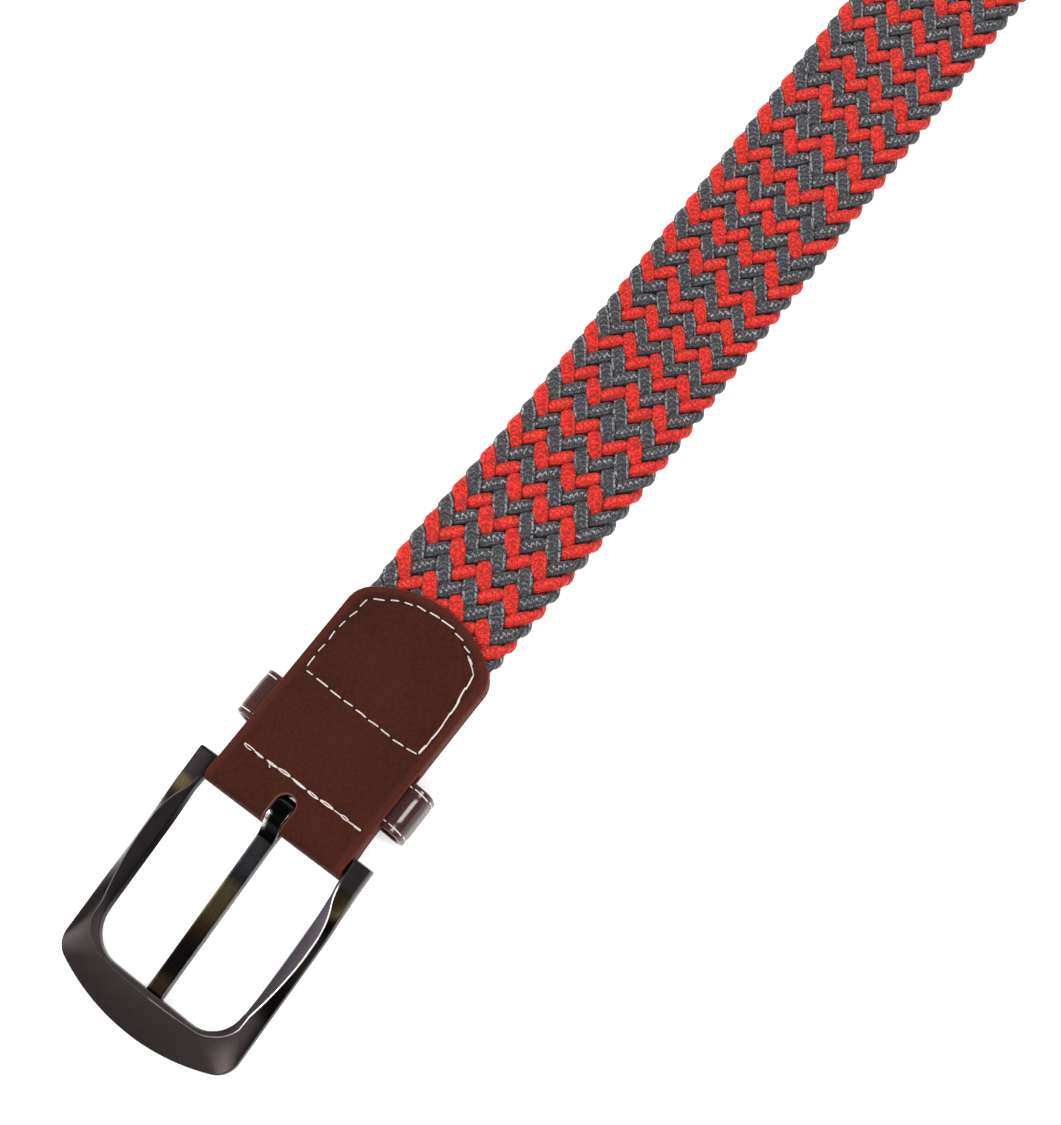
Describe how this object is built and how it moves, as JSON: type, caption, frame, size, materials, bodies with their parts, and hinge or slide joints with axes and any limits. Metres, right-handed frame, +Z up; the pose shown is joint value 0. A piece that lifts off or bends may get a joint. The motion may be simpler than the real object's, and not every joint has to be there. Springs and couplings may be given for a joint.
{
  "type": "braided belt",
  "caption": "Flat braided cord belt with a folded leather buckle tab, a keeper loop, a prong buckle and a leather tip, lying straight with its back side up.",
  "frame": {"origin": "middle of the belt's footprint on the floor it lies on", "axes": "+X from the buckle to the free tip, +Z up, away from the floor, so the wearer's side of the belt faces +Z"},
  "size_m": [1.0496, 0.045, 0.0113],
  "materials": {
    "braid": "flat plait of red and grey knitted cords",
    "red_cord": "matte knitted cord, bright red",
    "grey_cord": "matte knitted cord, slate grey with pale flecks",
    "leather": "semi-matte dark red-brown, fine grain",
    "keeper_leather": "glossy dark brown, finely wrinkled",
    "thread": "off-white twisted sewing thread",
    "gunmetal": "dark gunmetal plating, polished prong"
  },
  "bodies": {
    "strap": {"braid_band": "braid", "leather_tab": "leather", "keeper_loop": "keeper_leather", "leather_tip": "leather"},
    "frame": {"buckle_frame": "gunmetal"},
    "prong": {"prong": "gunmetal"}
  },
  "joints": [
    {"name": "frame_swing", "type": "hinge", "parent": "strap", "child": "frame", "pos_m": [-0.47399, 0, 0.00851], "axis": [0, 1, 0], "range_deg": [-28, 140]},
    {"name": "prong_swing", "type": "hinge", "parent": "frame", "child": "prong", "pos_m": [-0.47399, 0, 0.00851], "axis": [0, 1, 0], "range_deg": [-90, 0]}
  ]
}
